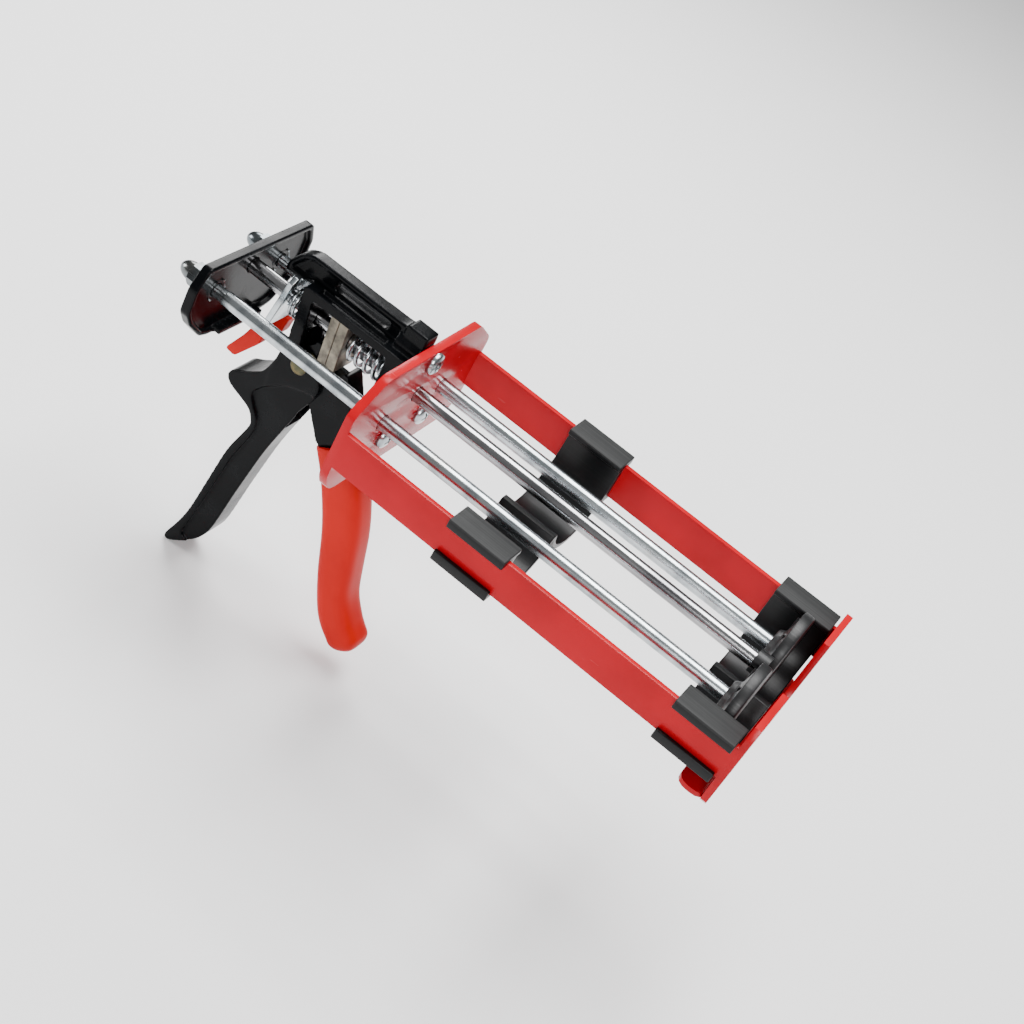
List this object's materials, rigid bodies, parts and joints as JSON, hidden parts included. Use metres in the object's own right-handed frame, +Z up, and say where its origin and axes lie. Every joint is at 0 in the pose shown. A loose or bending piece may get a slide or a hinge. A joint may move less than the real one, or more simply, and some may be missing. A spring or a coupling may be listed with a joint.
{
  "type": "two-cartridge dispensing gun",
  "caption": "Hand dispensing gun with a flat two-barrel cartridge carriage, twin push rods on a yoke, a central drive rod and a squeeze trigger.",
  "frame": {"origin": "front face of the carriage's back plate, midway between the push rods and at their height", "axes": "+X towards the nozzle end along the rods, +Y to the far side, +Z up, handle and trigger pointing down"},
  "size_m": [0.3092, 0.1138, 0.1795],
  "materials": {
    "black_casting": "gloss",
    "red_paint": "gloss",
    "red_vinyl": "satin",
    "black_plastic": "satin",
    "zinc_plate": "satin",
    "polished_steel": "polished",
    "sintered_steel": "matte",
    "passivated_steel": "satin"
  },
  "bodies": {
    "gun_frame": {"body_casting": "black_casting", "carriage": "red_paint", "saddle_mid": "black_plastic", "saddle_front": "black_plastic", "carriage_screw_top": "zinc_plate", "carriage_screw_near": "zinc_plate", "carriage_screw_far": "zinc_plate", "pivot_pin": "passivated_steel", "trigger_spring": "passivated_steel", "return_spring": "zinc_plate", "release_spring": "zinc_plate"},
    "rod_carriage": {"yoke": "black_casting", "drive_rod": "polished_steel", "drive_rod_cap": "black_plastic", "push_rod_near": "zinc_plate", "push_rod_far": "zinc_plate", "acorn_nut_near": "zinc_plate", "acorn_nut_far": "zinc_plate", "hex_nut_near": "zinc_plate", "hex_nut_far": "zinc_plate", "pusher_near": "black_plastic", "pusher_far": "black_plastic"},
    "trigger": {"trigger_lever": "black_casting", "trigger_sleeve": "red_vinyl"},
    "grip_plates": {"grip_plate_rear": "sintered_steel", "grip_plate_front": "sintered_steel"},
    "release": {"release_lever": "zinc_plate", "release_sleeve": "red_vinyl"}
  },
  "joints": [
    {"name": "rod_slide", "type": "slide", "parent": "gun_frame", "child": "rod_carriage", "axis": [1, 0, 0], "range_m": [-0.1765, 0.004]},
    {"name": "trigger_hinge", "type": "hinge", "parent": "gun_frame", "child": "trigger", "pos_m": [-0.0498, 0, -0.015], "axis": [0, 1, 0], "range_deg": [0, 24], "stiffness_Nm_per_rad": 0.8, "springref_deg": -28.65, "deforming": ["trigger_spring"]},
    {"name": "grip_slide", "type": "slide", "parent": "gun_frame", "child": "grip_plates", "axis": [1, 0, 0], "range_m": [0, 0.0052], "deforming": ["return_spring"]},
    {"name": "release_hinge", "type": "hinge", "parent": "gun_frame", "child": "release", "pos_m": [-0.07, 0, 0.018], "axis": [0, -1, 0], "range_deg": [0, 6], "stiffness_Nm_per_rad": 0.8, "springref_deg": -17.19, "deforming": ["release_spring"]}
  ],
  "couplings": [
    {"joint": "grip_slide", "follows": "trigger_hinge", "m_per_rad": 0.0115}
  ]
}
